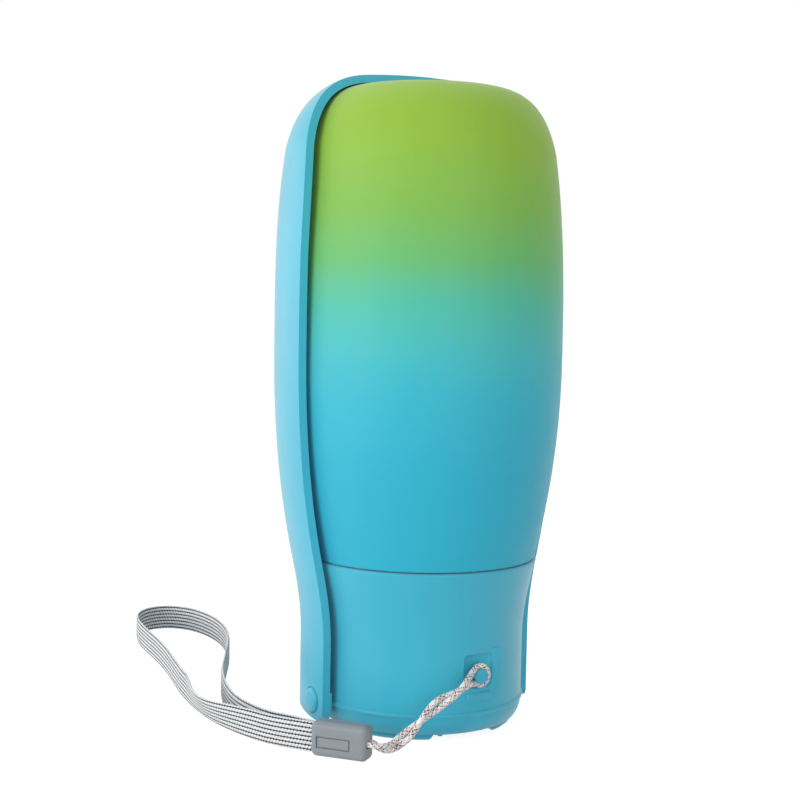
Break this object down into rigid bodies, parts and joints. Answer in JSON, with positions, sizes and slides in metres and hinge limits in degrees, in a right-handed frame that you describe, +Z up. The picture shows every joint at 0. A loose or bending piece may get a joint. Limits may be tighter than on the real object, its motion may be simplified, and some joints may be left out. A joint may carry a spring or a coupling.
{
  "type": "pet water bottle with folding trough",
  "caption": "Tall rounded bottle standing upside down on its flared cap, with a leaf-shaped drinking trough hinged at the cap, a push-button valve and a woven wrist lanyard.",
  "frame": {"origin": "centre of the footprint of bottle, cap and trough, on the surface that the cap's feet stand on", "axes": "+Z up along the bottle, -Y towards the side with the lanyard's stud, +Y towards the trough and the button, X along the trough's hinge"},
  "size_m": [0.12, 0.195, 0.2103],
  "materials": {
    "bottle_coating": "soft-touch coating that fades from green at the top to pale blue at the seam",
    "cap_plastic": "satin pale blue",
    "inner_plastic": "plain white moulding",
    "silicone": "milky silicone",
    "spring_steel": "drawn wire",
    "clasp_plastic": "satin mid grey",
    "braid": "pale grey woven polyester with dark flecks"
  },
  "bodies": {
    "cap": {"cap_shell": "cap_plastic", "base_plate": "cap_plastic", "hinge_pin_left": "cap_plastic", "hinge_pin_right": "cap_plastic", "valve_housing": "inner_plastic", "valve_plug": "inner_plastic", "inlet_gasket": "silicone", "stem_o_ring": "silicone", "spring_seat_washer": "inner_plastic", "button_spring": "spring_steel", "neck_gasket": "silicone", "vent_valve": "silicone", "wrist_band": "braid", "lanyard_cord": "braid", "clasp_front": "clasp_plastic", "clasp_back": "clasp_plastic"},
    "bottle": {"bottle_body": "bottle_coating"},
    "trough": {"trough": "cap_plastic"},
    "button": {"push_button": "cap_plastic", "valve_stem": "inner_plastic", "valve_seal": "silicone"}
  },
  "joints": [
    {"name": "trough_hinge", "type": "hinge", "parent": "cap", "child": "trough", "pos_m": [0, -0.00217, 0.009], "axis": [-1, 0, 0], "range_deg": [0, 180], "deforming": ["wrist_band"]},
    {"name": "bottle_twist", "type": "hinge", "parent": "cap", "child": "bottle", "pos_m": [0, -0.00217, 0.045], "axis": [0, 0, 1], "range_deg": [0, 450]},
    {"name": "button_slide", "type": "slide", "parent": "cap", "child": "button", "axis": [0, -1, 0], "range_m": [0, 0.003], "stiffness_N_per_m": 300, "deforming": ["button_spring"]}
  ]
}
